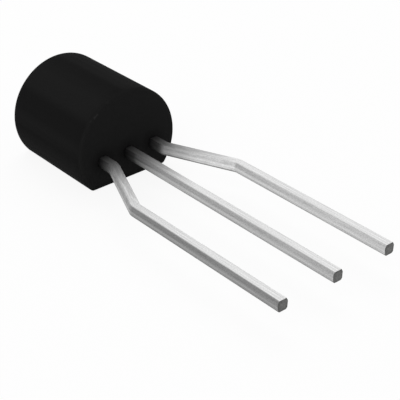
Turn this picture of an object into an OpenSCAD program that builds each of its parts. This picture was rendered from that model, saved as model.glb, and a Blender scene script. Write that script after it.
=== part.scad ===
// Three-lead moulded temperature sensor with spread leads.
// It lies on its flat side: the flat is at z = 0, the leads point along -Y,
// and the origin is the centre of the flat.

/* [Moulded body] */
// Length of the body, from the lead end to the far end
body_len = 4.87; // [4.6:0.01:5.3]
// Depth of the body, from the flat to the crown of the rounded back
body_depth = 3.91; // [3.7:0.01:4.15]
// Radius of the rounded back
back_r = 2.37; // [2.25:0.01:2.55]
// Rounding of the edges around both ends
end_edge_r = 0.15; // [0.05:0.01:0.25]
// Rounding where the flat meets the rounded back
flat_edge_r = 0.18; // [0.05:0.01:0.3]

/* [Leads] */
// Width of a lead
lead_w = 0.46; // [0.41:0.01:0.5]
// Thickness of a lead
lead_t = 0.45; // [0.38:0.01:0.5]
// Height of the lead plane above the flat, at mid thickness
lead_z = 1.205; // [1.1:0.005:1.35]
// Spacing of the leads where they leave the body
root_pitch = 1.27; // [1.2:0.01:1.35]
// Spacing of the leads after forming
formed_pitch = 2.54; // [2.2:0.01:2.8]
// Distance from the body to the start of the spread
spread_start = 0.76; // [0.6:0.01:1.2]
// Distance from the body to the end of the spread
spread_end = 3.82; // [3.4:0.01:4.6]
// Distance from the body to the cut ends
lead_reach = 11.8; // [8:0.1:14]
// Bend radius of the outer leads, at mid width
bend_r = 0.5; // [0.4:0.05:1]
// Width of the chamfer that the wide faces lose along each edge
edge_w = 0.066; // [0.03:0.002:0.1]
// Depth of the rolled-over edge on the wide face that the punch met
roll_depth = 0.116; // [0.08:0.002:0.13]
// Depth at which the cut side face turns from burnished to fractured
burnish_depth = 0.17; // [0.15:0.005:0.22]
// Depth of the chamfer on the opposite wide face
burr_depth = 0.06; // [0.03:0.005:0.1]
// How far each side face leans in over its fractured part
fracture_lean = 0.016; // [0:0.002:0.03]

/* [Lead frame inside the body] */
// Plastic between the lead end of the body and the bonding posts
root_cover = 1.05; // [0.8:0.01:1.15]
// Plastic between the far end of the body and the die pad
pad_cover = 0.68; // [0.5:0.01:0.75]
// Length of a bonding post
post_len = 0.95; // [0.8:0.01:1]
// Width of a bonding post
post_w = 1.1; // [0.9:0.01:1.15]
// Gap between a bonding post and the centre lead
post_gap = 0.38; // [0.3:0.01:0.42]
// Gap between the bonding posts and the die pad
pad_gap = 0.34; // [0.25:0.01:0.36]
// Width of the die pad
pad_w = 2; // [1.7:0.01:2.2]
// Corner radius of the posts and the die pad
plate_corner_r = 0.12; // [0.05:0.01:0.2]

/* [Die and adhesive] */
// Width of the silicon die
die_w = 1.1; // [0.9:0.01:1.3]
// Length of the silicon die
die_len = 1.3; // [1.1:0.01:1.4]
// Thickness of the silicon die
die_t = 0.28; // [0.2:0.01:0.35]
// Thickness of the adhesive under the die
adhesive_t = 0.03; // [0.02:0.005:0.05]
// Width of the adhesive that shows around the die
adhesive_rim = 0.05; // [0.02:0.005:0.08]

/* [Bond wires] */
// Diameter of a bond wire
wire_d = 0.03; // [0.025:0.005:0.05]
// Diameter of the ball at the die
ball_d = 0.08; // [0.07:0.005:0.1]
// Height of the ball
ball_h = 0.024; // [0.015:0.001:0.03]
// Straight rise of the wire above the ball
wire_rise = 0.12; // [0.08:0.01:0.2]
// Radius of the loop above the rise
loop_r = 0.1; // [0.08:0.01:0.14]
// Diameter of the flattened stitch at the lead
stitch_d = 0.1; // [0.08:0.005:0.12]
// Thickness of the stitch
stitch_t = 0.012; // [0.008:0.001:0.02]
// Distance from the edge of the die to the centre of a ball
ball_inset = 0.15; // [0.1:0.01:0.2]
// Distance from the near end of a post to the stitch
stitch_inset = 0.35; // [0.25:0.01:0.45]

/* [Hidden] */
$fn = 64;

// Body, seen along the leads: the circle of the back and the roundings at the flat
lead_end_y = -body_len / 2;
back_z = body_depth - back_r;
corner_x = sqrt(pow(back_r - flat_edge_r, 2) - pow(back_z - flat_edge_r, 2));
tangent_scale = back_r / (back_r - flat_edge_r);
tangent_x = corner_x * tangent_scale;
tangent_z = back_z - (back_z - flat_edge_r) * tangent_scale;

// Spread of the outer leads
spread_angle = atan2(formed_pitch - root_pitch, spread_end - spread_start);
bend_tangent = bend_r * tan(spread_angle / 2);
bend_steps = 8;

// Lead frame inside the body
lead_top_z = lead_z + lead_t / 2;
post_y = lead_end_y + root_cover;
post_inner_x = lead_w / 2 + post_gap;
pad_y = post_y + post_len + pad_gap;
pad_len = body_len / 2 - pad_cover - pad_y;
anchor = root_cover + post_len / 2;

// Die on its pad
die_y = pad_y + pad_len / 2;
die_bottom_z = lead_top_z + adhesive_t;
die_top_z = die_bottom_z + die_t;
ball_y = die_y - die_len / 2 + ball_inset;
ball_x = die_w / 2 - ball_inset;
stitch_y = post_y + post_len - stitch_inset;
outer_stitch = [post_inner_x + post_w / 2, stitch_y];
centre_stitch = [0, pad_y - pad_gap];
loop_steps = 8;
wire_sides = 12;

// Outline of a lead's cross-section, anticlockwise: x across the lead, y through it
function lead_outline() =
    let (
        top = lead_t / 2,
        half_w = lead_w / 2,
        foot_w = half_w - fracture_lean,
        right = [
            [foot_w - edge_w, -top],
            [foot_w, -top + burr_depth],
            [half_w, top - burnish_depth],
            [half_w, top - roll_depth],
            [half_w - edge_w, top]
        ]
    )
    concat(right, [for (i = [len(right) - 1:-1:0]) [-right[i].x, right[i].y]]);

// A flat outline set at a point, with its own x along across and its y along up
function ring(outline, at, across, up) =
    [for (p = outline) at + p.x * across + p.y * up];

// Solid through rings of equal length, each with its normal along the path
module sweep(rings) {
    sides = len(rings[0]);
    last = (len(rings) - 1) * sides;
    polyhedron(
        points = [for (r = rings, p = r) p],
        faces = concat(
            [[for (i = [0:sides - 1]) i]],
            [[for (i = [sides - 1:-1:0]) last + i]],
            [for (row = [0:sides:last - 1], i = [0:sides - 1])
                let (next = (i + 1) % sides)
                [row + i, row + sides + i, row + sides + next, row + next]]
        )
    );
}

// Lead bar along stations [x, y, heading], where heading 0 runs along -Y
module lead_bar(stations) {
    outline = lead_outline();
    sweep([for (s = stations)
        ring(outline, [s.x, s.y, lead_z], [cos(s.z), sin(s.z), 0], [0, 0, 1])]);
}

// Flat plate of lead-frame stock with rounded corners, from a corner at [x, y]
module plate(x, y, width, length) {
    r = plate_corner_r;
    translate([x, y, lead_z])
        linear_extrude(lead_t, center = true) {
            translate([r, 0])
                square([width - 2 * r, length]);
            translate([0, r])
                square([width, length - 2 * r]);
            for (cx = [r, width - r], cy = [r, length - r])
                translate([cx, cy])
                    circle(r = r);
        }
}

// Outer lead on the +X side: bonding post, anchor, spread and long straight end
module outer_lead() {
    first_bend = [root_pitch + bend_r, lead_end_y - spread_start + bend_tangent];
    second_bend = [formed_pitch - bend_r, lead_end_y - spread_end - bend_tangent];
    steps = [for (i = [0:bend_steps]) i / bend_steps * spread_angle];
    lead_bar(concat(
        [[root_pitch, lead_end_y + anchor, 0]],
        [for (a = steps)
            [first_bend.x - bend_r * cos(a), first_bend.y - bend_r * sin(a), a]],
        [for (i = [bend_steps:-1:0])
            let (a = steps[i])
            [second_bend.x + bend_r * cos(a), second_bend.y + bend_r * sin(a), a]],
        [[formed_pitch, lead_end_y - lead_reach, 0]]
    ));
    plate(post_inner_x, post_y, post_w, post_len);
}

module right_lead() {
    color([0.82, 0.83, 0.84])
        outer_lead();
}

module left_lead() {
    color([0.82, 0.83, 0.84])
        mirror([1, 0, 0])
            outer_lead();
}

// Centre lead: straight, and widened inside into the pad that carries the die
module centre_lead() {
    color([0.82, 0.83, 0.84]) {
        lead_bar([[0, pad_y + pad_len / 2, 0], [0, lead_end_y - lead_reach, 0]]);
        plate(-pad_w / 2, pad_y, pad_w, pad_len);
    }
}

module die_adhesive() {
    color([0.72, 0.72, 0.7])
        translate([-die_w / 2 - adhesive_rim, die_y - die_len / 2 - adhesive_rim, lead_top_z])
            cube([die_w + 2 * adhesive_rim, die_len + 2 * adhesive_rim, adhesive_t]);
}

module silicon_die() {
    color([0.35, 0.36, 0.42])
        translate([-die_w / 2, die_y - die_len / 2, die_bottom_z])
            cube([die_w, die_len, die_t]);
}

// Wire from a ball on the die to a stitch on the lead frame: it rises, turns over in an
// arc, and runs straight down to the stitch. start and stop are points [x, y].
module bond_wire(start, stop) {
    run = norm(stop - start);
    heading = atan2(stop.y - start.y, stop.x - start.x);
    arc_z = die_top_z + ball_h + wire_rise;
    end_z = lead_top_z + wire_d / 2;
    across = run - loop_r;
    slope_len = sqrt(pow(across, 2) + pow(arc_z - end_z, 2) - pow(loop_r, 2));
    slope = atan2(arc_z - end_z, across) + atan2(loop_r, slope_len);
    // Stations [distance, height, climb] along the wire
    stations = concat(
        [[0, die_top_z + ball_h / 2, 90]],
        [for (i = [0:loop_steps])
            let (climb = 90 - i / loop_steps * (90 + slope))
            [loop_r * (1 - sin(climb)), arc_z + loop_r * cos(climb), climb]],
        [[run, end_z, -slope]]
    );
    circle_points = [for (i = [0:wire_sides - 1])
        let (a = 360 * i / wire_sides)
        wire_d / 2 * [cos(a), sin(a)]];
    translate([start.x, start.y, 0])
        rotate([0, 0, heading]) {
            translate([0, 0, die_top_z])
                cylinder(d = ball_d, h = ball_h);
            sweep([for (s = stations)
                ring(circle_points, [s.x, 0, s.y], [0, 1, 0], [-sin(s.z), 0, cos(s.z)])]);
            translate([run, 0, lead_top_z])
                cylinder(d = stitch_d, h = stitch_t);
        }
}

module right_bond_wire() {
    color([0.9, 0.72, 0.3])
        bond_wire([ball_x, ball_y], outer_stitch);
}

module left_bond_wire() {
    color([0.9, 0.72, 0.3])
        mirror([1, 0, 0])
            bond_wire([ball_x, ball_y], outer_stitch);
}

module centre_bond_wire() {
    color([0.9, 0.72, 0.3])
        bond_wire([0, ball_y], centre_stitch);
}

// Outline of the flat and its roundings, seen along the leads: x across, y up from the
// flat. Above the roundings it stays open to the sides, where the turned back takes over.
module flat_section() {
    translate([-back_r, tangent_z])
        square([2 * back_r, body_depth]);
    polygon([[-corner_x, 0], [corner_x, 0], [tangent_x, tangent_z], [-tangent_x, tangent_z]]);
    for (side = [-1, 1])
        translate([side * corner_x, flat_edge_r])
            circle(r = flat_edge_r);
}

// Rounded back as a turned bar with rounded end edges
module turned_back() {
    r = end_edge_r;
    translate([0, 0, back_z])
        rotate([-90, 0, 0])
            rotate_extrude() {
                translate([0, -body_len / 2])
                    square([back_r - r, body_len]);
                translate([0, -body_len / 2 + r])
                    square([back_r, body_len - 2 * r]);
                for (end = [-1, 1])
                    translate([back_r - r, end * (body_len / 2 - r)])
                        circle(r = r);
            }
}

// Block with a rounded edge at each end of the flat
module flat_block() {
    r = end_edge_r;
    rotate([90, 0, 90])
        linear_extrude(2 * back_r, center = true) {
            translate([-body_len / 2, r])
                square([body_len, body_depth]);
            translate([-body_len / 2 + r, 0])
                square([body_len - 2 * r, body_depth]);
            for (end = [-1, 1])
                translate([end * (body_len / 2 - r), r])
                    circle(r = r);
        }
}

// Body moulded round the lead frame, the die and the wires
module moulded_body() {
    color([0.11, 0.11, 0.12])
        difference() {
            intersection() {
                rotate([90, 0, 0])
                    linear_extrude(body_len, center = true)
                        flat_section();
                turned_back();
                flat_block();
            }
            left_lead();
            centre_lead();
            right_lead();
            die_adhesive();
            silicon_die();
            left_bond_wire();
            centre_bond_wire();
            right_bond_wire();
        }
}

moulded_body();
left_lead();
centre_lead();
right_lead();
die_adhesive();
silicon_die();
left_bond_wire();
centre_bond_wire();
right_bond_wire();
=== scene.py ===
import math

import bmesh
import bpy
from bpy.props import FloatProperty, FloatVectorProperty, IntProperty, PointerProperty
from mathutils import Matrix, Vector


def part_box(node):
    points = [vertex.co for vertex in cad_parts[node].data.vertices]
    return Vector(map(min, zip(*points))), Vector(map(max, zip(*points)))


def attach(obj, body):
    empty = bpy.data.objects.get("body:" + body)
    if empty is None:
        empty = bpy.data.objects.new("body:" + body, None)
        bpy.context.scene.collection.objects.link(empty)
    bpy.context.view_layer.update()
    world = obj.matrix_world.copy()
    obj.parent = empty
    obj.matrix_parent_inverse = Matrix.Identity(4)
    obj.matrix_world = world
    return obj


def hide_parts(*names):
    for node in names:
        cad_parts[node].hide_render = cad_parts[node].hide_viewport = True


bl_info = {
    "name": "Three-lead temperature sensor",
    "version": (1, 0, 0),
    "blender": (4, 5, 0),
    "location": "View3D > Sidebar > Sensor",
    "description": "Dresses a moulded through-hole temperature sensor with spread tinned leads",
    "category": "Object",
}

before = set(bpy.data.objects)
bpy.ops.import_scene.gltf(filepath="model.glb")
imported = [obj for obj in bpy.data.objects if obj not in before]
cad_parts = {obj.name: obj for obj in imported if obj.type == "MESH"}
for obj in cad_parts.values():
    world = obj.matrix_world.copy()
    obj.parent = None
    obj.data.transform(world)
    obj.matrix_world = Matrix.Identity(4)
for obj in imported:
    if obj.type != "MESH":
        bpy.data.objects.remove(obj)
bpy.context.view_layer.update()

MM = 0.001
LEADS = ("left_lead", "centre_lead", "right_lead")
WIRES = ("left_bond_wire", "centre_bond_wire", "right_bond_wire")

# Corners of the body and of the middle lead, read from the frame
BODY_NEAR, BODY_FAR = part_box("moulded_body")
LEAD_LOW, LEAD_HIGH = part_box("centre_lead")
# Height of the leads' middle plane, and of a lead's upper face over that plane
LEAD_Z = (LEAD_LOW.z + LEAD_HIGH.z) / 2
LEAD_TOP = LEAD_HIGH.z - LEAD_Z
# Length of each dressed lead that runs on inside the body
ROOT_LEN = 1.5 * MM
# Share of the end rounding within which a point counts as part of that end
END_SHARE = 0.3


# ---------------------------------------------------------------- sizes and colours

class BodySizes(bpy.types.PropertyGroup):
    """Sizes of the moulded body"""
    depth: FloatProperty(
        name="Depth", description="From the flat to the crown of the rounded back",
        default=3.91 * MM, unit="LENGTH")
    back_radius: FloatProperty(
        name="Back radius", description="Radius of the rounded back",
        default=2.37 * MM, unit="LENGTH")
    end_rounding: FloatProperty(
        name="End rounding", description="Radius of the edges around both ends",
        default=0.15 * MM, unit="LENGTH")
    flat_rounding: FloatProperty(
        name="Flat rounding", description="Radius where the flat meets the back",
        default=0.18 * MM, unit="LENGTH")


class LeadSizes(bpy.types.PropertyGroup):
    """Sizes of the stamped and formed leads"""
    width: FloatProperty(
        name="Width", description="Width of a lead across its cut sides",
        default=0.46 * MM, unit="LENGTH")
    root_pitch: FloatProperty(
        name="Root pitch", description="Spacing of the leads where they leave the body",
        default=1.27 * MM, unit="LENGTH")
    formed_pitch: FloatProperty(
        name="Formed pitch", description="Spacing of the leads after forming",
        default=2.54 * MM, unit="LENGTH")
    spread_start: FloatProperty(
        name="Spread start", description="Distance from the body to the first bend",
        default=0.76 * MM, unit="LENGTH")
    spread_end: FloatProperty(
        name="Spread end", description="Distance from the body to the second bend",
        default=3.82 * MM, unit="LENGTH")
    bend_radius: FloatProperty(
        name="Bend radius", description="Radius of both bends at mid width",
        default=0.5 * MM, unit="LENGTH")
    edge_width: FloatProperty(
        name="Edge width", description="Width that each wide face loses at its edges",
        default=0.066 * MM, unit="LENGTH")
    roll_depth: FloatProperty(
        name="Roll depth", description="Depth of the rolled-over edge on the upper face",
        default=0.116 * MM, unit="LENGTH")
    burnish_depth: FloatProperty(
        name="Burnish depth", description="Depth at which a cut side turns from bright to torn",
        default=0.17 * MM, unit="LENGTH")
    burr_depth: FloatProperty(
        name="Burr depth", description="Depth of the small edge on the lower face",
        default=0.06 * MM, unit="LENGTH")
    fracture_lean: FloatProperty(
        name="Fracture lean", description="How far a cut side leans in over its torn part",
        default=0.016 * MM, unit="LENGTH")
    edge_rounding: FloatProperty(
        name="Edge rounding", description="Radius left on every long edge by the plating",
        default=0.02 * MM, unit="LENGTH")
    edge_steps: IntProperty(
        name="Edge steps", description="Faces round each long edge", default=3, min=1)
    end_rounding: FloatProperty(
        name="End rounding", description="Small bevel round each cut end",
        default=0.008 * MM, unit="LENGTH")
    bend_steps: IntProperty(
        name="Bend steps", description="Faces round each bend", default=14, min=2)
    # Painted shade and painted reflection on the cut sides of each lead: the same tin, lit
    # differently
    dullness: FloatVectorProperty(
        name="Dullness", description="How dull the cut sides of each lead are, from left to right",
        default=(1, 0.56, 0.3), min=0, max=1)
    # The stain here is painted shade: the dark body's shade and painted reflection at each lead's
    # root
    root_shade_reach: FloatVectorProperty(
        name="Stain reach",
        description="How far the dark stain at each root runs, from left to right",
        default=(2.6 * MM, 4.2 * MM, 4.2 * MM), unit="LENGTH")
    # Painted light that lifts the painted side shade on the slanted parts and the stubs
    slant_lift: FloatProperty(
        name="Slant shine",
        description="How much less dull the slanted parts and the stubs at the body are",
        default=0.4, min=0, max=1)


def linear(code):
    """sRGB hex value such as "#8a8d90" as a linear RGBA colour"""
    parts = [int(code[i:i + 2], 16) / 255 for i in (1, 3, 5)]
    return [p / 12.92 if p <= 0.04045 else ((p + 0.055) / 1.055) ** 2.4 for p in parts] + [1]


def colour_property(name, description, code):
    """Colour property whose default is an sRGB hex value"""
    return FloatVectorProperty(
        name=name, description=description, subtype="COLOR", size=3,
        min=0, max=1, default=linear(code)[:3])


class FinishColours(bpy.types.PropertyGroup):
    """Colours of the finishes"""
    epoxy: colour_property("Epoxy", "Carbon-black moulding compound", "#1a1a1a")
    tin: colour_property("Tin", "Bright tin plate on the rolled faces", "#eaeaea")
    # Ends of the painted side shade: the darker tone is the tin in painted shade and painted
    # reflection
    side_lit: colour_property("Bright side", "Tin on a cut side with a full plate", "#e1e1e1")
    side_shaded: colour_property("Dull side", "Tin on a cut side with the thinnest plate", "#959595")
    cut_end: colour_property("Cut end", "Bare alloy at the cut ends", "#656564")
    gold: colour_property("Gold", "Bond wire", "#e8c069")
    silicon: colour_property("Silicon", "Top of the die", "#4a4c58")
    adhesive: colour_property("Adhesive", "Silver-filled die adhesive", "#b9b8b2")
    floor: colour_property("Floor", "Pale floor", "#fbfbfb")


class SensorSettings(bpy.types.PropertyGroup):
    """All settings of the sensor"""
    body: PointerProperty(type=BodySizes)
    leads: PointerProperty(type=LeadSizes)
    colours: PointerProperty(type=FinishColours)


# ---------------------------------------------------------------- materials

# A Mix node's colour sockets go by number, because its other kinds share their names
SHARE, COLOUR_A, COLOUR_B, MIXED = 0, 6, 7, 2


def add_node(tree, kind, inputs=None, **settings):
    """Adds a node, applies its settings and sets or links its inputs by name or index"""
    node = tree.nodes.new(kind)
    for name, value in settings.items():
        setattr(node, name, value)
    for key, value in (inputs or {}).items():
        if isinstance(value, bpy.types.NodeSocket):
            tree.links.new(value, node.inputs[key])
        else:
            node.inputs[key].default_value = value
    return node


def new_material(name):
    """Material with an empty node tree, as (material, tree)"""
    material = bpy.data.materials.new(name)
    material.use_nodes = True
    material.node_tree.nodes.clear()
    return material, material.node_tree


def set_stops(ramp, stops):
    """Sets a ramp's stops from (place, grey) pairs"""
    for i, (place, grey) in enumerate(stops):
        stop = ramp.elements[i] if i < 2 else ramp.elements.new(place)
        stop.position = place
        stop.color = (grey, grey, grey, 1)


def rgba(colour):
    """Colour property as RGBA"""
    return [*colour, 1]


def moulded_epoxy(colours, sizes, root_pitch):
    """Epoxy moulding compound from a satin mould: near black and matt, with a fine even grain.
    Over it lie soft bands of painted sheen and shade along the rounded back, a painted highlight
    in dabs on the end edges, and painted shade in a dark halo round each lead"""
    # The mould's grain is really about 0.02 mm and is drawn coarser, so that it shows
    grain_mm, flow_mm, flow_len_mm = 0.06, 0.25, 8.0
    material, tree = new_material("satin_moulded_epoxy")
    place = add_node(tree, "ShaderNodeTexCoord").outputs["Object"]
    axes = add_node(tree, "ShaderNodeSeparateXYZ", {0: place}).outputs
    grain = add_node(tree, "ShaderNodeTexNoise", {
        "Vector": place, "Scale": 1 / (grain_mm * MM), "Detail": 3.0, "Roughness": 0.6})
    stretch = add_node(tree, "ShaderNodeMapping", {
        "Vector": place,
        "Scale": (1 / (flow_mm * MM), 1 / (flow_len_mm * MM), 1 / (flow_mm * MM))})
    flow = add_node(tree, "ShaderNodeTexNoise", {
        "Vector": stretch.outputs[0], "Scale": 1.0, "Detail": 2.0})
    turn = turn_round_back(tree, axes, sizes)
    off_middle = add_node(tree, "ShaderNodeMath", {0: axes["Y"]}, operation="ABSOLUTE").outputs[0]
    # Painted sheen bands plus the painted edge highlight
    painted_light = add_node(tree, "ShaderNodeMath", {
        0: painted_bands_and_ends(tree, turn, off_middle, sizes),
        1: painted_edge_highlight(tree, place, turn, off_middle, sizes)}, operation="ADD")

    # Grain and flow over all of it
    shade = add_node(tree, "ShaderNodeMapRange", {
        "Value": grain.outputs["Fac"], "To Min": 1.04, "To Max": 1.56})
    streak = add_node(tree, "ShaderNodeMapRange", {
        "Value": flow.outputs["Fac"], "From Min": 0.3, "From Max": 0.7,
        "To Min": 0.95, "To Max": 1.05})
    grained = add_node(tree, "ShaderNodeMath", {
        0: shade.outputs[0], 1: streak.outputs[0]}, operation="MULTIPLY")
    dressed = add_node(tree, "ShaderNodeMath", {
        0: grained.outputs[0], 1: painted_light.outputs[0]}, operation="MULTIPLY")
    total = add_node(tree, "ShaderNodeMath", {
        0: dressed.outputs[0], 1: kept_by_painted_halo(tree, axes, sizes, root_pitch)},
        operation="MULTIPLY")
    tone = add_node(tree, "ShaderNodeMix", {
        SHARE: 1.0, COLOUR_A: rgba(colours.epoxy), COLOUR_B: total.outputs[0]},
        data_type="RGBA", blend_type="MULTIPLY")
    gloss = add_node(tree, "ShaderNodeMapRange", {
        "Value": flow.outputs["Fac"], "From Min": 0.3, "From Max": 0.7,
        "To Min": 0.75, "To Max": 0.85})
    bump = add_node(tree, "ShaderNodeBump", {
        "Strength": 0.25, "Distance": 0.004 * MM, "Height": grain.outputs["Fac"]})
    shader = add_node(tree, "ShaderNodeBsdfPrincipled", {
        "Base Color": tone.outputs[MIXED], "Roughness": gloss.outputs[0],
        "Specular IOR Level": 0.03, "Normal": bump.outputs[0]})
    add_node(tree, "ShaderNodeOutputMaterial", {0: shader.outputs[0]})
    return material


def turn_round_back(tree, axes, sizes):
    """Turn round the axis of the rounded back: 0.5 at the crown, 0.25 at the right flank and
    0.75 at the left one"""
    across = add_node(tree, "ShaderNodeMath", {0: axes["X"], 1: -1.0}, operation="MULTIPLY")
    rise = add_node(tree, "ShaderNodeMath", {
        0: axes["Z"], 1: sizes.depth - sizes.back_radius}, operation="SUBTRACT")
    angle = add_node(tree, "ShaderNodeMath", {
        0: across.outputs[0], 1: rise.outputs[0]}, operation="ARCTAN2")
    return add_node(tree, "ShaderNodeMath", {
        0: angle.outputs[0], 1: 0.5 / math.pi, 2: 0.5}, operation="MULTIPLY_ADD").outputs[0]


def painted_bands_and_ends(tree, turn, off_middle, sizes):
    """Painted light and shade: grey of painted sheen bands along the back, darker towards its
    flanks, and one grey on both ends
    """
    # Painted highlights and painted shade by turn round the back, where lamps and their
    # reflections would give them
    painted_bands_by_turn = [
        (0.38, 0.5), (0.43, 0.26), (0.485, 0.57), (0.515, 0.44), (0.575, 0.80), (0.625, 0.86),
        (0.65, 0.59), (0.695, 0.60), (0.72, 0.72), (0.75, 0.49), (0.78, 0.51), (0.83, 0.28),
        (0.86, 0.5)]
    end_grey = 0.95
    bands = add_node(tree, "ShaderNodeValToRGB", {0: turn})
    set_stops(bands.color_ramp, painted_bands_by_turn)
    on_end = add_node(tree, "ShaderNodeMapRange", {
        "Value": off_middle, "From Min": BODY_FAR.y - sizes.end_rounding,
        "From Max": BODY_FAR.y - END_SHARE * sizes.end_rounding})
    return add_node(tree, "ShaderNodeMix", {
        SHARE: on_end.outputs[0], 2: bands.outputs[0], 3: end_grey},
        data_type="FLOAT").outputs[0]


def painted_edge_highlight(tree, place, turn, off_middle, sizes):
    """Painted highlight: a paler line with dabs along the end edges on the upper left, where the
    rounded edge would catch the light
    """
    dab_mm, dab_seed = 0.3, 3.0
    # Middle and half the length of the painted highlight as turns, and how pale it gets
    highlight_turn, highlight_reach, highlight_most = 0.61, 0.06, 0.4
    # The line's place in from the end, half its width and its strength, and what a dab adds
    edge = sizes.end_rounding
    line_in, line_width, dab_width = 0.2 * edge, 0.04 * edge, 0.15 * edge
    line_strength, dab_strength = 0.35, 2.3
    spots = add_node(tree, "ShaderNodeTexNoise", {
        "Vector": place, "W": dab_seed, "Scale": 1 / (dab_mm * MM), "Detail": 1.0},
        noise_dimensions="4D")
    dabs = add_node(tree, "ShaderNodeMapRange", {
        "Value": spots.outputs["Fac"], "From Min": 0.5, "From Max": 0.6})
    width = add_node(tree, "ShaderNodeMath", {
        0: dabs.outputs[0], 1: dab_width, 2: line_width}, operation="MULTIPLY_ADD")
    on_line = add_node(tree, "ShaderNodeMath", {
        0: off_middle, 1: BODY_FAR.y - line_in, 2: width.outputs[0]}, operation="COMPARE")
    off_highlight = add_node(tree, "ShaderNodeMath", {0: turn, 1: highlight_turn}, operation="SUBTRACT")
    aside = add_node(tree, "ShaderNodeMath", {0: off_highlight.outputs[0]}, operation="ABSOLUTE")
    here = add_node(tree, "ShaderNodeMapRange", {
        "Value": aside.outputs[0], "From Min": 0.0, "From Max": highlight_reach,
        "To Min": highlight_most, "To Max": 0.0})
    strength = add_node(tree, "ShaderNodeMath", {
        0: dabs.outputs[0], 1: dab_strength, 2: line_strength}, operation="MULTIPLY_ADD")
    highlight_share = add_node(tree, "ShaderNodeMath", {
        0: here.outputs[0], 1: strength.outputs[0]}, operation="MULTIPLY")
    return add_node(tree, "ShaderNodeMath", {
        0: on_line.outputs[0], 1: highlight_share.outputs[0]}, operation="MULTIPLY").outputs[0]


def kept_by_painted_halo(tree, axes, sizes, root_pitch):
    """Share of the light that the painted shade of the dark halo leaves, by the distance from the
    nearest lead's middle, on the face that the leads leave"""
    halo_start, halo_end, halo_most = 0.22 * MM, 0.7 * MM, 0.32
    off_centre = add_node(tree, "ShaderNodeMath", {0: axes["X"]}, operation="ABSOLUTE")
    is_outer = add_node(tree, "ShaderNodeMath", {
        0: off_centre.outputs[0], 1: root_pitch / 2}, operation="GREATER_THAN")
    off_lead = add_node(tree, "ShaderNodeMath", {
        0: is_outer.outputs[0], 1: -root_pitch, 2: off_centre.outputs[0]},
        operation="MULTIPLY_ADD")
    beside = add_node(tree, "ShaderNodeCombineXYZ", {0: off_lead.outputs[0], 2: axes["Z"]})
    away = add_node(tree, "ShaderNodeVectorMath", {
        0: beside.outputs[0], 1: (0, 0, LEAD_Z)}, operation="DISTANCE")
    dark = add_node(tree, "ShaderNodeMapRange", {
        "Value": away.outputs["Value"], "From Min": halo_start, "From Max": halo_end,
        "To Min": halo_most, "To Max": 0.0})
    lead_face = add_node(tree, "ShaderNodeMath", {
        0: axes["Y"], 1: BODY_NEAR.y + END_SHARE * sizes.end_rounding}, operation="LESS_THAN")
    halo = add_node(tree, "ShaderNodeMath", {
        0: dark.outputs[0], 1: lead_face.outputs[0]}, operation="MULTIPLY")
    return add_node(tree, "ShaderNodeMath", {
        0: 1.0, 1: halo.outputs[0]}, operation="SUBTRACT").outputs[0]


def tin_plate(colours, sizes):
    """Bright tin over stamped copper alloy: the rolled faces are bright with fine lines along the
    lead, the cut sides are duller, first burnished and then torn, with painted shade and painted
    reflection on them that differ per lead. Painted shade darkens all of it towards the body, and
    the forming tool has marked the slanted parts, which get painted shade on their lower edge."""
    # Rolling lines are really finer than 0.02 mm, and are drawn coarser, so that they show
    line_mm, line_len_mm = 0.035, 2.5
    material, tree = new_material("tin_plated_stamping")
    # Place on the lead: x across, growing to the left side, y along it and z through it
    place = add_node(tree, "ShaderNodeAttribute", attribute_name="lead_place").outputs["Vector"]
    axes = add_node(tree, "ShaderNodeSeparateXYZ", {"Vector": place}).outputs
    stretch = add_node(tree, "ShaderNodeMapping", {
        "Vector": place,
        "Scale": (1 / (line_mm * MM), 1 / (line_len_mm * MM), 1 / (line_mm * MM))})
    lines = add_node(tree, "ShaderNodeTexNoise", {
        "Vector": stretch.outputs[0], "Scale": 1.0, "Detail": 3.0,
        "Roughness": 0.65}).outputs["Fac"]
    # Share of the thickness from below
    height = add_node(tree, "ShaderNodeMath", {
        0: axes["Z"], 1: 0.5 / LEAD_TOP, 2: 0.5}, operation="MULTIPLY_ADD").outputs[0]
    side = cut_side(tree, axes, sizes)
    tone = add_node(tree, "ShaderNodeMix", {
        SHARE: side, COLOUR_A: rgba(colours.tin),
        COLOUR_B: cut_side_tone(tree, place, axes, height, colours)}, data_type="RGBA")
    marked = add_node(tree, "ShaderNodeMath", {
        0: plate_grain(tree, place, lines), 1: forming_marks_and_low_shade(tree, place, height)},
        operation="MULTIPLY")
    varied = add_node(tree, "ShaderNodeMath", {
        0: marked.outputs[0], 1: kept_by_painted_body_shade(tree, axes, side)}, operation="MULTIPLY")
    streaked = add_node(tree, "ShaderNodeMix", {
        SHARE: 1.0, COLOUR_A: tone.outputs[MIXED], COLOUR_B: varied.outputs[0]},
        data_type="RGBA", blend_type="MULTIPLY")
    # Painted shade and painted reflection of the dark body, darkest at the root
    root_shaded = add_node(tree, "ShaderNodeMix", {
        SHARE: 1.0, COLOUR_A: streaked.outputs[MIXED], COLOUR_B: painted_root_shade(tree, side)},
        data_type="RGBA", blend_type="MULTIPLY")
    gloss = add_node(tree, "ShaderNodeMapRange", {
        "Value": side, "To Min": 0.56, "To Max": 0.6})
    bump = add_node(tree, "ShaderNodeBump", {
        "Strength": 0.3, "Distance": 0.002 * MM, "Height": lines})
    shader = add_node(tree, "ShaderNodeBsdfPrincipled", {
        "Base Color": root_shaded.outputs[MIXED], "Metallic": 1.0, "Roughness": gloss.outputs[0],
        "Normal": bump.outputs[0]})
    add_node(tree, "ShaderNodeOutputMaterial", {0: shader.outputs[0]})
    return material


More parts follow.
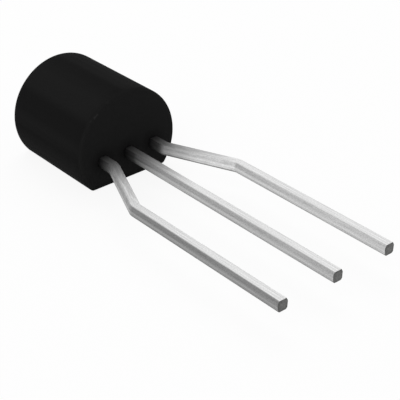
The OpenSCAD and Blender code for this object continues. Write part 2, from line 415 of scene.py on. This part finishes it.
def cut_side(tree, axes, sizes):
    """0 on the rolled faces and 1 on the cut sides. On the right edge the cut side starts further
    over, a painted light that keeps that edge lighter."""
    ridge = sizes.width / 2 - sizes.edge_width
    side_start, side_full, right_lit_shift = ridge - 0.04 * MM, ridge + 0.01 * MM, 0.04 * MM
    right = add_node(tree, "ShaderNodeMath", {
        0: axes["X"], 1: -1.0, 2: -right_lit_shift}, operation="MULTIPLY_ADD")
    across = add_node(tree, "ShaderNodeMath", {
        0: axes["X"], 1: right.outputs[0]}, operation="MAXIMUM")
    return add_node(tree, "ShaderNodeMapRange", {
        "Value": across.outputs[0], "From Min": side_start, "From Max": side_full}).outputs[0]


def cut_side_tone(tree, place, axes, height, colours):
    """Colour of the cut sides, in the painted side shade of each lead: burnished above, torn and
    paler below, with painted shade at the foot
    """
    tear_mm = 0.09
    # The torn part is paler by tear_most, and ends in a ragged line just above mid height
    tear_wander, tear_fade, tear_most = 0.03 * MM, 0.1 * MM, 0.14
    # Painted shade low on the cut side, where it faces down
    foot_shade_by_height = [(0.1, 0.35), (0.15, 0.45), (0.21, 0.8), (0.3, 0.83), (0.45, 1.0)]
    torn = add_node(tree, "ShaderNodeTexNoise", {
        "Vector": place, "Scale": 1 / (tear_mm * MM), "Detail": 3.0})
    wander = add_node(tree, "ShaderNodeMath", {
        0: torn.outputs["Fac"], 1: tear_wander, 2: axes["Z"]}, operation="MULTIPLY_ADD")
    tear = add_node(tree, "ShaderNodeMapRange", {
        "Value": wander.outputs[0], "From Min": 0.0, "From Max": tear_fade,
        "To Min": tear_most, "To Max": 0.0})
    foot_shade = add_node(tree, "ShaderNodeValToRGB", {0: height})
    set_stops(foot_shade.color_ramp, foot_shade_by_height)
    dullness = add_node(tree, "ShaderNodeAttribute", attribute_name="dullness").outputs["Fac"]
    side_tone = add_node(tree, "ShaderNodeMix", {
        SHARE: dullness, COLOUR_A: rgba(colours.side_lit),
        COLOUR_B: rgba(colours.side_shaded)}, data_type="RGBA")
    torn_tone = add_node(tree, "ShaderNodeMix", {
        SHARE: 1.0, COLOUR_A: side_tone.outputs[MIXED], COLOUR_B: tear.outputs[0]},
        data_type="RGBA", blend_type="ADD")
    return add_node(tree, "ShaderNodeMix", {
        SHARE: 1.0, COLOUR_A: torn_tone.outputs[MIXED], COLOUR_B: foot_shade.outputs[0]},
        data_type="RGBA", blend_type="MULTIPLY").outputs[MIXED]


def plate_grain(tree, place, lines):
    """Rolling lines with the grain of the plate over them. The grain is really finer than
    0.02 mm, and is drawn coarser, so that it shows."""
    grain_mm = 0.045
    streak = add_node(tree, "ShaderNodeMapRange", {
        "Value": lines, "From Min": 0.3, "From Max": 0.7, "To Min": 0.82, "To Max": 1.11})
    grain = add_node(tree, "ShaderNodeTexNoise", {
        "Vector": place, "Scale": 1 / (grain_mm * MM), "Detail": 1.0})
    speck = add_node(tree, "ShaderNodeMapRange", {
        "Value": grain.outputs["Fac"], "From Min": 0.25, "From Max": 0.75,
        "To Min": 0.86, "To Max": 1.14})
    return add_node(tree, "ShaderNodeMath", {
        0: streak.outputs[0], 1: speck.outputs[0]}, operation="MULTIPLY").outputs[0]


def forming_marks_and_low_shade(tree, place, height):
    """What the forming tool left on the slanted parts, blotches, and painted shade on their lower
    edge
    """
    blotch_mm, blotch_len_mm = 0.1, 0.45
    slant = add_node(tree, "ShaderNodeAttribute", attribute_name="slant").outputs["Fac"]
    drawn = add_node(tree, "ShaderNodeMapping", {
        "Vector": place,
        "Scale": (1 / (blotch_mm * MM), 1 / (blotch_len_mm * MM), 1 / (blotch_mm * MM))})
    press = add_node(tree, "ShaderNodeTexNoise", {
        "Vector": drawn.outputs[0], "Scale": 1.0, "Detail": 2.0, "Roughness": 0.6})
    blotch = add_node(tree, "ShaderNodeMapRange", {
        "Value": press.outputs["Fac"], "From Min": 0.3, "From Max": 0.7,
        "To Min": -0.1, "To Max": 0.12})
    # Painted shade along the lower edge of the slanted parts
    low = add_node(tree, "ShaderNodeMapRange", {
        "Value": height, "From Min": 0.16, "From Max": 0.26, "To Min": -0.4, "To Max": 0.0})
    marks = add_node(tree, "ShaderNodeMath", {
        0: blotch.outputs[0], 1: low.outputs[0]}, operation="ADD")
    return add_node(tree, "ShaderNodeMath", {
        0: marks.outputs[0], 1: slant, 2: 1.0}, operation="MULTIPLY_ADD").outputs[0]


def kept_by_painted_body_shade(tree, axes, side):
    """Share of the light that the painted shade of the body's halo leaves on the cut sides: it
    darkens them as far as halo_full from the body, and is gone at halo_end"""
    halo_full, halo_end, halo_most = 0.6 * MM, 0.85 * MM, 0.45
    near_body = add_node(tree, "ShaderNodeMapRange", {
        "Value": axes["Y"], "From Min": ROOT_LEN + halo_full, "From Max": ROOT_LEN + halo_end,
        "To Min": -halo_most, "To Max": 0.0})
    return add_node(tree, "ShaderNodeMath", {
        0: side, 1: near_body.outputs[0], 2: 1.0}, operation="MULTIPLY_ADD").outputs[0]


def painted_root_shade(tree, side):
    """Painted shade, with a painted reflection of the dark body, that thins out from the body,
    sooner on the cut sides
    """
    root_shade_by_reach = [
        (0.0, 0.08), (0.1, 0.21), (0.33, 0.45), (0.56, 0.66), (0.79, 0.87), (1.0, 1.0)]
    side_speed = 1.65
    stain = add_node(tree, "ShaderNodeAttribute", attribute_name="stain").outputs["Fac"]
    faster = add_node(tree, "ShaderNodeMapRange", {
        "Value": side, "To Min": 1.0, "To Max": side_speed})
    fade = add_node(tree, "ShaderNodeMath", {
        0: stain, 1: faster.outputs[0]}, operation="MULTIPLY")
    root_shade = add_node(tree, "ShaderNodeValToRGB", {0: fade.outputs[0]})
    set_stops(root_shade.color_ramp, root_shade_by_reach)
    return root_shade.outputs[0]


def cut_alloy(colours, sizes):
    """Copper alloy bared by the cutter: dull mottled grey, darker towards its outline"""
    mottle_mm = 0.07
    material, tree = new_material("cut_alloy_end")
    place = add_node(tree, "ShaderNodeAttribute", attribute_name="lead_place").outputs["Vector"]
    grain = add_node(tree, "ShaderNodeTexNoise", {
        "Vector": place, "Scale": 1 / (mottle_mm * MM), "Detail": 2.0})
    mottle = add_node(tree, "ShaderNodeMapRange", {
        "Value": grain.outputs["Fac"], "From Min": 0.3, "From Max": 0.7,
        "To Min": 0.75, "To Max": 1.35})
    # 0 at the middle of the cut end and 1 at the middles of its four sides
    spread = add_node(tree, "ShaderNodeVectorMath", {
        0: place, 1: (2 / sizes.width, 0, 1 / LEAD_TOP)}, operation="MULTIPLY")
    radius = add_node(tree, "ShaderNodeVectorMath", {0: spread.outputs[0]}, operation="LENGTH")
    toward_outline = add_node(tree, "ShaderNodeMapRange", {
        "Value": radius.outputs["Value"], "From Min": 0.6, "From Max": 1.0,
        "To Min": 1.05, "To Max": 0.8})
    total = add_node(tree, "ShaderNodeMath", {
        0: mottle.outputs[0], 1: toward_outline.outputs[0]}, operation="MULTIPLY")
    tone = add_node(tree, "ShaderNodeMix", {
        SHARE: 1.0, COLOUR_A: rgba(colours.cut_end), COLOUR_B: total.outputs[0]},
        data_type="RGBA", blend_type="MULTIPLY")
    bump = add_node(tree, "ShaderNodeBump", {
        "Strength": 0.4, "Distance": 0.004 * MM, "Height": grain.outputs["Fac"]})
    shader = add_node(tree, "ShaderNodeBsdfPrincipled", {
        "Base Color": tone.outputs[MIXED], "Metallic": 0.6, "Roughness": 0.6,
        "Normal": bump.outputs[0]})
    add_node(tree, "ShaderNodeOutputMaterial", {0: shader.outputs[0]})
    return material


def plain_finish(name, colour, grain_mm, **shader_inputs):
    """Finish of an inner piece: one colour that a light grain makes a little darker or paler"""
    darker, paler = 0.85, 1.1
    material, tree = new_material(name)
    place = add_node(tree, "ShaderNodeTexCoord").outputs["Object"]
    grain = add_node(tree, "ShaderNodeTexNoise", {
        "Vector": place, "Scale": 1 / (grain_mm * MM), "Detail": 2.0})
    tone = add_node(tree, "ShaderNodeMix", {
        SHARE: grain.outputs["Fac"], COLOUR_A: [c * darker for c in colour] + [1],
        COLOUR_B: [min(c * paler, 1) for c in colour] + [1]}, data_type="RGBA")
    shader = add_node(tree, "ShaderNodeBsdfPrincipled", {
        "Base Color": tone.outputs[MIXED], **shader_inputs})
    add_node(tree, "ShaderNodeOutputMaterial", {0: shader.outputs[0]})
    return material


# ---------------------------------------------------------------- shapes

def mesh_object(name, mesh):
    """Object at the origin that shows a mesh"""
    obj = bpy.data.objects.new(name, mesh)
    bpy.context.scene.collection.objects.link(obj)
    return obj


def arc(centre_x, centre_z, radius, first, turn, steps):
    """Points (x, z) in equal steps along an arc, with both of its ends"""
    angles = [first + turn * i / steps for i in range(steps + 1)]
    return [(centre_x + radius * math.cos(a), centre_z + radius * math.sin(a)) for a in angles]


def body_outline(sizes, inset, arc_steps=120, corner_steps=8, flat_steps=8):
    """Points (x, z) of the body's outline seen along the leads, moved in by inset"""
    back_z = sizes.depth - sizes.back_radius
    corner = sizes.flat_rounding
    corner_x = math.sqrt((sizes.back_radius - corner) ** 2 - (back_z - corner) ** 2)
    start = math.atan2(corner - back_z, corner_x)
    back = arc(0, back_z, sizes.back_radius - inset, start, math.pi - 2 * start, arc_steps)
    left = arc(-corner_x, corner, corner - inset, math.pi - start, math.pi / 2 + start,
               corner_steps)
    flat = [(-corner_x + 2 * corner_x * i / flat_steps, inset) for i in range(1, flat_steps)]
    right = arc(corner_x, corner, corner - inset, -math.pi / 2, math.pi / 2 + start,
                corner_steps)
    return back + left[1:] + flat + right[:-1]


def body_mesh(sizes):
    """Closed skin of the moulded body: rings along Y with rounded ends"""
    round_steps, wall_steps = 6, 12
    # Width of a flat ring inside each rounded end, which keeps the end's shading flat
    rim = 0.06 * MM
    r = sizes.end_rounding
    near, far = BODY_NEAR.y, BODY_FAR.y
    # Each ring as (y, how far it is moved in), from the near end to the far one
    turns = [math.pi / 2 * i / round_steps for i in range(round_steps + 1)]
    stations = [(near, r + rim)]
    stations += [(near + r - r * math.cos(a), r - r * math.sin(a)) for a in turns]
    stations += [(near + r + (far - near - 2 * r) * i / wall_steps, 0)
                 for i in range(1, wall_steps)]
    stations += [(far - r + r * math.sin(a), r - r * math.cos(a)) for a in turns]
    stations.append((far, r + rim))
    bm = bmesh.new()
    rings = [[bm.verts.new((x, y, z)) for x, z in body_outline(sizes, inset)]
             for y, inset in stations]
    for low, high in zip(rings, rings[1:]):
        for i in range(len(low)):
            j = (i + 1) % len(low)
            bm.faces.new((low[i], high[i], high[j], low[j]))
    bm.faces.new(rings[0])
    bm.faces.new(list(reversed(rings[-1])))
    bmesh.ops.recalc_face_normals(bm, faces=bm.faces)
    for face in bm.faces:
        face.smooth = True
    mesh = bpy.data.meshes.new("moulded_body_skin")
    bm.to_mesh(mesh)
    bm.free()
    return mesh


def lead_section(sizes):
    """Object with the closed outline of a lead's section, x across and y through it"""
    top = LEAD_TOP
    half_w = sizes.width / 2
    foot_w = half_w - sizes.fracture_lean
    right = [
        (foot_w - sizes.edge_width, -top),
        (foot_w, -top + sizes.burr_depth),
        (half_w, top - sizes.burnish_depth),
        (half_w, top - sizes.roll_depth),
        (half_w - sizes.edge_width, top),
    ]
    outline = right + [(-x, y) for x, y in reversed(right)]
    mesh = bpy.data.meshes.new("lead_section")
    edges = [(i, (i + 1) % len(outline)) for i in range(len(outline))]
    mesh.from_pydata([(x, y, 0) for x, y in outline], edges, [])
    return mesh_object("lead_section", mesh)


def lead_path(sizes, side):
    """Middle line of one lead with sharp corners: side is -1, 0 or 1 from left to right"""
    root, formed = side * sizes.root_pitch, side * sizes.formed_pitch
    points = [(root, BODY_NEAR.y + ROOT_LEN)]
    if side:
        points += [(root, BODY_NEAR.y - sizes.spread_start),
                   (formed, BODY_NEAR.y - sizes.spread_end)]
    points.append((formed, LEAD_LOW.y))
    mesh = bpy.data.meshes.new("lead_path")
    mesh.from_pydata([(x, y, LEAD_Z) for x, y in points],
                     [(i, i + 1) for i in range(len(points) - 1)], [])
    return mesh


def lead_tree():
    """Geometry Nodes that sweep the section along a path with rounded bends and edges, and
    store what the finishes read: place on the lead, painted side shade, slant and the reach of the
    painted root shade"""
    straight_ahead = 0.99
    tree = bpy.data.node_groups.new("formed_lead", "GeometryNodeTree")
    face = tree.interface
    face.new_socket("Geometry", in_out="OUTPUT", socket_type="NodeSocketGeometry")
    for name, kind in (
            ("Geometry", "Geometry"), ("Section", "Object"), ("Bend radius", "Float"),
            ("Bend steps", "Int"), ("Edge rounding", "Float"), ("Edge steps", "Int"),
            ("Dullness", "Float"), ("Slant", "Float"), ("Stub", "Float"),
            ("Slant shine", "Float"), ("Stain reach", "Float"), ("Plate", "Material"),
            ("Cut end", "Material")):
        face.new_socket(name, in_out="INPUT", socket_type=f"NodeSocket{kind}")
    source = add_node(tree, "NodeGroupInput").outputs

    # Middle line with rounded bends, and its length so far
    path = add_node(tree, "GeometryNodeMeshToCurve", {"Mesh": source["Geometry"]})
    bent = add_node(tree, "GeometryNodeFilletCurve", {
        "Curve": path.outputs[0], "Count": source["Bend steps"],
        "Radius": source["Bend radius"], "Limit Radius": True}, mode="POLY")
    level = add_node(tree, "GeometryNodeSetCurveNormal", {"Curve": bent.outputs[0]}, mode="Z_UP")
    length = add_node(tree, "GeometryNodeSplineParameter").outputs["Length"]
    measured = add_node(tree, "GeometryNodeStoreNamedAttribute", {
        "Geometry": level.outputs[0], "Name": "run", "Value": length}, data_type="FLOAT")

    # How far the lead has turned: 0 where it runs straight, and 1 on the slanted part. Painted
    # light lifts the painted side shade there, and on the short stub between the body and the
    # first bend.
    heading = add_node(tree, "ShaderNodeSeparateXYZ", {
        0: add_node(tree, "GeometryNodeInputTangent").outputs[0]})
    turned = add_node(tree, "ShaderNodeMath", {0: heading.outputs[0]}, operation="ABSOLUTE")
    share = add_node(tree, "ShaderNodeMath", {
        0: turned.outputs[0], 1: source["Slant"]}, operation="DIVIDE")
    in_stub = add_node(tree, "ShaderNodeMath", {
        0: length, 1: source["Stub"]}, operation="LESS_THAN")
    lift_place = add_node(tree, "ShaderNodeMath", {
        0: share.outputs[0], 1: in_stub.outputs[0]}, operation="MAXIMUM")
    lift = add_node(tree, "ShaderNodeMath", {
        0: lift_place.outputs[0], 1: source["Slant shine"]}, operation="MULTIPLY")
    kept_side_shade = add_node(tree, "ShaderNodeMath", {
        0: source["Dullness"], 1: lift.outputs[0]}, operation="SUBTRACT", use_clamp=True)
    slanted = add_node(tree, "GeometryNodeStoreNamedAttribute", {
        "Geometry": measured.outputs[0], "Name": "slant", "Value": share.outputs[0]},
        data_type="FLOAT")
    toned = add_node(tree, "GeometryNodeStoreNamedAttribute", {
        "Geometry": slanted.outputs[0], "Name": "dullness", "Value": kept_side_shade.outputs[0]},
        data_type="FLOAT")

    # Distance from the body as a share of the reach of the painted root shade
    outside = add_node(tree, "ShaderNodeMath", {0: length, 1: ROOT_LEN}, operation="SUBTRACT")
    reach = add_node(tree, "ShaderNodeMath", {
        0: outside.outputs[0], 1: source["Stain reach"]}, operation="DIVIDE")
    root_shaded = add_node(tree, "GeometryNodeStoreNamedAttribute", {
        "Geometry": toned.outputs[0], "Name": "stain", "Value": reach.outputs[0]},
        data_type="FLOAT")

    # Section with plated edges, turned so that its top ends up on top
    section = add_node(tree, "GeometryNodeObjectInfo", {"Object": source["Section"]})
    outline = add_node(tree, "GeometryNodeMeshToCurve", {"Mesh": section.outputs["Geometry"]})
    rounded = add_node(tree, "GeometryNodeFilletCurve", {
        "Curve": outline.outputs[0], "Count": source["Edge steps"],
        "Radius": source["Edge rounding"], "Limit Radius": True}, mode="POLY")
    here = add_node(tree, "GeometryNodeInputPosition").outputs[0]
    placed = add_node(tree, "GeometryNodeStoreNamedAttribute", {
        "Geometry": rounded.outputs[0], "Name": "section_place", "Value": here},
        data_type="FLOAT_VECTOR")
    upright = add_node(tree, "GeometryNodeTransform", {
        "Geometry": placed.outputs[0], "Rotation": (math.pi, 0, 0)})
    swept = add_node(tree, "GeometryNodeCurveToMesh", {
        "Curve": root_shaded.outputs[0], "Profile Curve": upright.outputs[0], "Fill Caps": True})

    # Place on the lead: across, along and through
    run = add_node(tree, "GeometryNodeInputNamedAttribute", {"Name": "run"}, data_type="FLOAT")
    where = add_node(tree, "GeometryNodeInputNamedAttribute", {
        "Name": "section_place"}, data_type="FLOAT_VECTOR")
    split = add_node(tree, "ShaderNodeSeparateXYZ", {0: where.outputs[0]})
    joined = add_node(tree, "ShaderNodeCombineXYZ", {
        0: split.outputs[0], 1: run.outputs[0], 2: split.outputs[1]})
    marked = add_node(tree, "GeometryNodeStoreNamedAttribute", {
        "Geometry": swept.outputs[0], "Name": "lead_place", "Value": joined.outputs[0]},
        data_type="FLOAT_VECTOR")
    outward = add_node(tree, "GeometryNodeFlipFaces", {"Mesh": marked.outputs[0]})

    # Plate all over, and bare alloy on the face that looks straight ahead
    normal = add_node(tree, "GeometryNodeInputNormal").outputs[0]
    facing = add_node(tree, "ShaderNodeVectorMath", {
        0: normal, 1: (0, -1, 0)}, operation="DOT_PRODUCT")
    is_end = add_node(tree, "FunctionNodeCompare", {
        0: facing.outputs["Value"], 1: straight_ahead},
        data_type="FLOAT", operation="GREATER_THAN")
    plated = add_node(tree, "GeometryNodeSetMaterial", {
        "Geometry": outward.outputs[0], "Material": source["Plate"]})
    cut = add_node(tree, "GeometryNodeSetMaterial", {
        "Geometry": plated.outputs[0], "Selection": is_end.outputs[0],
        "Material": source["Cut end"]})
    real = add_node(tree, "GeometryNodeRealizeInstances", {"Geometry": cut.outputs[0]})
    smooth = add_node(tree, "GeometryNodeSetShadeSmooth", {"Geometry": real.outputs[0]})
    add_node(tree, "NodeGroupOutput", {0: smooth.outputs[0]})
    return tree


def bake_modifiers(obj):
    """Turns an object's evaluated shape into its own plain mesh"""
    graph = bpy.context.evaluated_depsgraph_get()
    mesh = bpy.data.meshes.new_from_object(obj.evaluated_get(graph))
    obj.modifiers.clear()
    obj.data = mesh
    return obj


# ---------------------------------------------------------------- operators

class SENSOR_OT_camera(bpy.types.Operator):
    """Set the camera that looks down at the sensor from the lead end"""
    bl_idname = "sensor.camera"
    bl_label = "Camera"

    azimuth: FloatProperty(
        name="Azimuth", description="Turn round the sensor from straight before its lead ends",
        default=math.radians(-39.103), subtype="ANGLE")
    elevation: FloatProperty(
        name="Elevation", description="Angle at which the camera looks down",
        default=math.radians(30.649), subtype="ANGLE")
    roll: FloatProperty(
        name="Roll", description="Turn of the camera round its line of sight",
        default=math.radians(-1.123), subtype="ANGLE")
    distance: FloatProperty(
        name="Distance", description="From the target to the camera",
        default=44.019 * MM, unit="LENGTH")
    target: FloatVectorProperty(
        name="Target", description="Point that the camera looks at",
        default=(-0.191 * MM, -7.186 * MM, 1.123 * MM), unit="LENGTH")
    lens: FloatProperty(
        name="Focal length", description="In millimetres, for a sensor 36 mm wide",
        default=105.217)

    def execute(self, context):
        target = Vector(self.target)
        a, e, r = self.azimuth, self.elevation, self.roll
        back = Vector((math.sin(a) * math.cos(e), -math.cos(a) * math.cos(e), math.sin(e)))
        right = Vector((0, 0, 1)).cross(back).normalized()
        up = back.cross(right)
        right, up = (math.cos(r) * right + math.sin(r) * up,
                     math.cos(r) * up - math.sin(r) * right)
        data = bpy.data.cameras.new("camera")
        data.sensor_width = 36
        data.lens = self.lens
        data.clip_start, data.clip_end = 1 * MM, 10
        camera = bpy.data.objects.new("camera", data)
        context.scene.collection.objects.link(camera)
        turn = Matrix((right, up, back)).transposed()
        camera.matrix_world = Matrix.Translation(target + back * self.distance) @ turn.to_4x4()
        context.scene.camera = camera
        return {"FINISHED"}


class SENSOR_OT_body(bpy.types.Operator):
    """Make the moulded body"""
    bl_idname = "sensor.body"
    bl_label = "Moulded body"

    def execute(self, context):
        settings = context.scene.sensor
        body = mesh_object("moulded_body_skin", body_mesh(settings.body))
        body.data.materials.append(moulded_epoxy(
            settings.colours, settings.body, settings.leads.root_pitch))
        body.modifiers.new("even shading", "WEIGHTED_NORMAL")
        bake_modifiers(body)
        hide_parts("moulded_body")
        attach(body, "root")
        return {"FINISHED"}


class SENSOR_OT_leads(bpy.types.Operator):
    """Make the three formed leads"""
    bl_idname = "sensor.leads"
    bl_label = "Formed leads"

    def execute(self, context):
        settings = context.scene.sensor
        sizes = settings.leads
        spread = math.atan2(
            sizes.formed_pitch - sizes.root_pitch, sizes.spread_end - sizes.spread_start)
        tree = lead_tree()
        section = lead_section(sizes)
        shared = {
            "Section": section, "Bend radius": sizes.bend_radius, "Bend steps": sizes.bend_steps,
            "Edge rounding": sizes.edge_rounding, "Edge steps": sizes.edge_steps,
            "Slant": math.sin(spread), "Slant shine": sizes.slant_lift,
            "Plate": tin_plate(settings.colours, sizes),
            "Cut end": cut_alloy(settings.colours, sizes)}
        ids = {item.name: item.identifier for item in tree.interface.items_tree
               if item.in_out == "INPUT"}
        for side, node, dullness, reach in zip(
                (-1, 0, 1), LEADS, sizes.dullness, sizes.root_shade_reach):
            lead = mesh_object(node + "_formed", lead_path(sizes, side))
            sweep = lead.modifiers.new("sweep", "NODES")
            sweep.node_group = tree
            own = {"Dullness": dullness, "Stain reach": reach,
                   "Stub": abs(side) * (ROOT_LEN + sizes.spread_start)}
            for name, value in {**shared, **own}.items():
                sweep[ids[name]] = value
            # Only the rim of a cut end is sharper than this limit
            bevel = lead.modifiers.new("cut rim", "BEVEL")
            bevel.width = sizes.end_rounding
            bevel.segments = 2
            bevel.angle_limit = math.radians(70)
            lead.modifiers.new("even shading", "WEIGHTED_NORMAL")
            bake_modifiers(lead)
            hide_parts(node)
            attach(lead, "root")
        bpy.data.objects.remove(section)
        return {"FINISHED"}


class SENSOR_OT_inner_pieces(bpy.types.Operator):
    """Give the die, its adhesive and the bond wires their finishes"""
    bl_idname = "sensor.inner_pieces"
    bl_label = "Inner pieces"

    def execute(self, context):
        colours = context.scene.sensor.colours
        gold = plain_finish(
            "drawn_gold", colours.gold, grain_mm=0.02, Metallic=1.0, Roughness=0.2)
        silicon = plain_finish(
            "polished_silicon", colours.silicon, grain_mm=0.3, Metallic=0.4, Roughness=0.15)
        adhesive = plain_finish(
            "silver_filled_epoxy", colours.adhesive, grain_mm=0.03, Metallic=0.5, Roughness=0.6)
        finishes = {"silicon_die": silicon, "die_adhesive": adhesive, **{w: gold for w in WIRES}}
        for node, material in finishes.items():
            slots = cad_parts[node].data.materials
            slots.clear()
            slots.append(material)
        return {"FINISHED"}


class SENSOR_OT_stage(bpy.types.Operator):
    """Set the floor, the soft lamps and the world"""
    bl_idname = "sensor.stage"
    bl_label = "Stage"

    def execute(self, context):
        colours = context.scene.sensor.colours
        self.floor(colours)
        self.world(context)
        lamp(context, "key_softbox", place=(0.12, 0.18, 0.26), size=0.30, power=0.55)
        lamp(context, "fill_softbox", place=(-0.20, -0.06, 0.22), size=0.24, power=0.20)
        context.scene.view_settings.view_transform = "Standard"
        return {"FINISHED"}

    def floor(self, colours):
        """Pale board that mostly shows as plain white and still takes the sensor's shadow"""
        glow_share = 0.9
        # Just under the flat of the body, so that the two faces don't share a plane
        half, drop = 600 * MM, 0.01 * MM
        mesh = bpy.data.meshes.new("floor")
        mesh.from_pydata([(-half, -half, -drop), (half, -half, -drop), (half, half, -drop),
                          (-half, half, -drop)], [], [(0, 1, 2, 3)])
        floor = mesh_object("floor", mesh)
        material, tree = new_material("matt_white_board")
        plain = add_node(tree, "ShaderNodeBsdfDiffuse", {"Color": rgba(colours.floor)})
        glow = add_node(tree, "ShaderNodeEmission", {"Color": (1, 1, 1, 1), "Strength": 1.0})
        share = add_node(tree, "ShaderNodeMath", {
            0: seen_directly(tree), 1: glow_share}, operation="MULTIPLY")
        both = add_node(tree, "ShaderNodeMixShader", {
            0: share.outputs[0], 1: plain.outputs[0], 2: glow.outputs[0]})
        add_node(tree, "ShaderNodeOutputMaterial", {0: both.outputs[0]})
        floor.data.materials.append(material)

    def world(self, context):
        """White surroundings: near full white where they are seen, and half of it as light"""
        as_light, as_seen = 0.5, 0.985
        world = bpy.data.worlds.new("studio")
        world.use_nodes = True
        context.scene.world = world
        tree = world.node_tree
        tree.nodes.clear()
        level = add_node(tree, "ShaderNodeMapRange", {
            "Value": seen_directly(tree), "To Min": as_light, "To Max": as_seen})
        sky = add_node(tree, "ShaderNodeBackground", {
            "Color": (1, 1, 1, 1), "Strength": level.outputs[0]})
        add_node(tree, "ShaderNodeOutputWorld", {0: sky.outputs[0]})


def seen_directly(tree):
    """1 for camera, glossy and transmission rays and 0 for the rest"""
    path = add_node(tree, "ShaderNodeLightPath").outputs
    some = add_node(tree, "ShaderNodeMath", {
        0: path["Is Camera Ray"], 1: path["Is Glossy Ray"]}, operation="MAXIMUM")
    total = add_node(tree, "ShaderNodeMath", {
        0: some.outputs[0], 1: path["Is Transmission Ray"]}, operation="MAXIMUM")
    return total.outputs[0]


def lamp(context, name, place, size, power):
    """Square softbox that faces the sensor and isn't mirrored in it"""
    middle = Vector((0, -5 * MM, 1 * MM))
    data = bpy.data.lights.new(name, "AREA")
    data.shape = "SQUARE"
    data.size = size
    data.energy = power
    obj = bpy.data.objects.new(name, data)
    obj.visible_glossy = False
    context.scene.collection.objects.link(obj)
    obj.location = place
    aim = middle - obj.location
    obj.rotation_euler = aim.to_track_quat("-Z", "Y").to_euler()


class SENSOR_PT_panel(bpy.types.Panel):
    """Sensor pieces and their sizes"""
    bl_label = "Temperature sensor"
    bl_idname = "SENSOR_PT_panel"
    bl_space_type = "VIEW_3D"
    bl_region_type = "UI"
    bl_category = "Sensor"

    def draw(self, context):
        settings = context.scene.sensor
        for group in (settings.body, settings.leads, settings.colours):
            box = self.layout.box()
            for name in group.__annotations__:
                box.prop(group, name)
        for operator in OPERATORS:
            self.layout.operator(operator.bl_idname)


OPERATORS = (SENSOR_OT_camera, SENSOR_OT_body, SENSOR_OT_leads,
             SENSOR_OT_inner_pieces, SENSOR_OT_stage)
CLASSES = (BodySizes, LeadSizes, FinishColours, SensorSettings, *OPERATORS, SENSOR_PT_panel)


def register():
    for cls in CLASSES:
        bpy.utils.register_class(cls)
    bpy.types.Scene.sensor = PointerProperty(type=SensorSettings)


def unregister():
    del bpy.types.Scene.sensor
    for cls in reversed(CLASSES):
        bpy.utils.unregister_class(cls)


def main():
    """Makes every piece and the stage"""
    register()
    bpy.ops.sensor.camera()
    bpy.ops.sensor.body()
    bpy.ops.sensor.leads()
    bpy.ops.sensor.inner_pieces()
    bpy.ops.sensor.stage()


if __name__ == "__main__":
    main()
